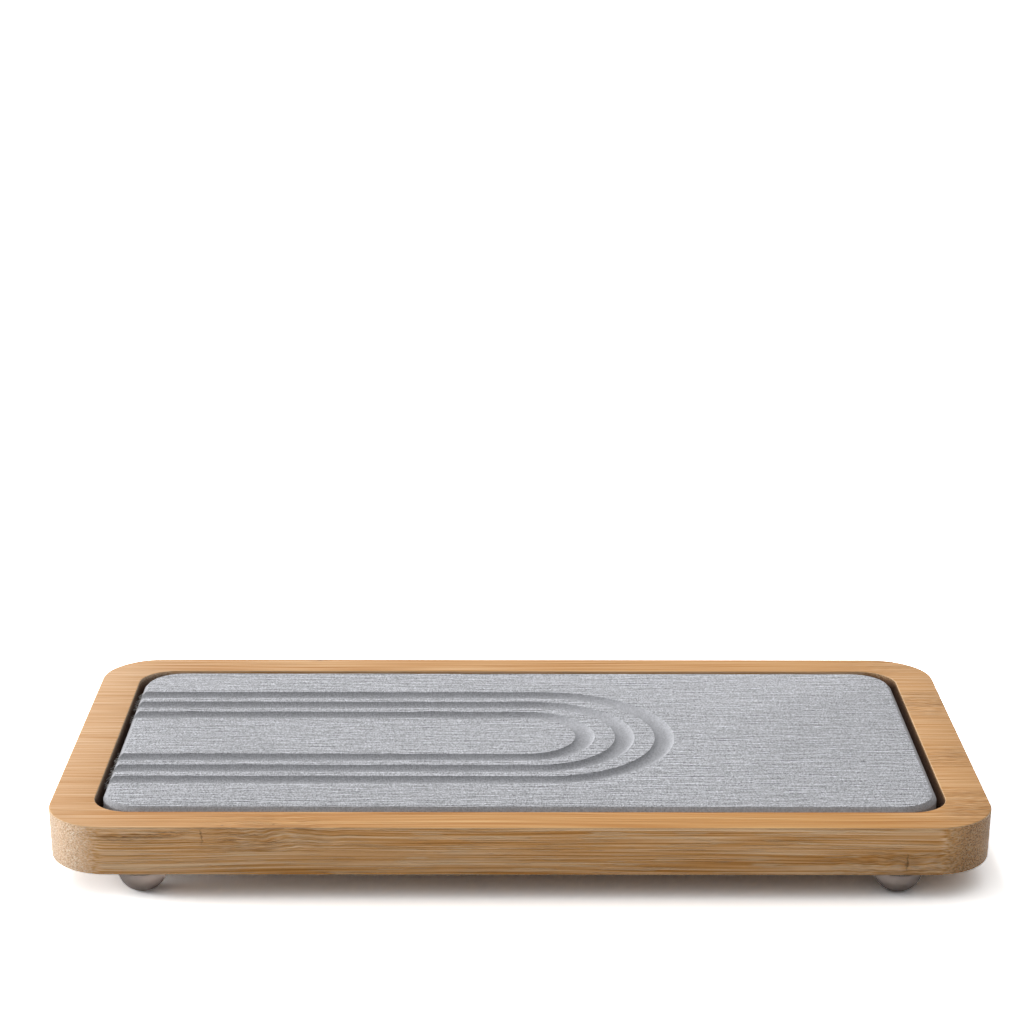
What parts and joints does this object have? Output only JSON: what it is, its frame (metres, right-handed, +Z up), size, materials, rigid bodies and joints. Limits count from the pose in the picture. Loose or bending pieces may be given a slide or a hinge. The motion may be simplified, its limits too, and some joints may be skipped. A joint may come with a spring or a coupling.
{
  "type": "vanity tray",
  "caption": "Low rounded rectangular tray: a two-ply wooden board with a milled pocket, a loose grooved stone slab that lifts out of it, and clear domed feet.",
  "frame": {"origin": "on the table, under the middle of the board", "axes": "+X along the board to the right, away from the end that the slab's grooves run out of; +Y to the back; +Z up"},
  "size_m": [0.28, 0.1512, 0.0231],
  "materials": {
    "bamboo": "satin",
    "stone": "matte",
    "clear_foot": "gloss",
    "foot_adhesive": "satin"
  },
  "bodies": {
    "board": {"bamboo_upper_ply": "bamboo", "bamboo_lower_ply": "bamboo", "foot_front_left": "clear_foot", "foot_front_right": "clear_foot", "foot_back_left": "clear_foot", "foot_back_right": "clear_foot", "foot_adhesive_front_left": "foot_adhesive", "foot_adhesive_front_right": "foot_adhesive", "foot_adhesive_back_left": "foot_adhesive", "foot_adhesive_back_right": "foot_adhesive"},
    "slab": {"stone_slab": "stone"}
  },
  "joints": [
    {"name": "stone_lift", "type": "slide", "parent": "board", "child": "slab", "axis": [0, 0, 1], "range_m": [0, 0.03]}
  ]
}
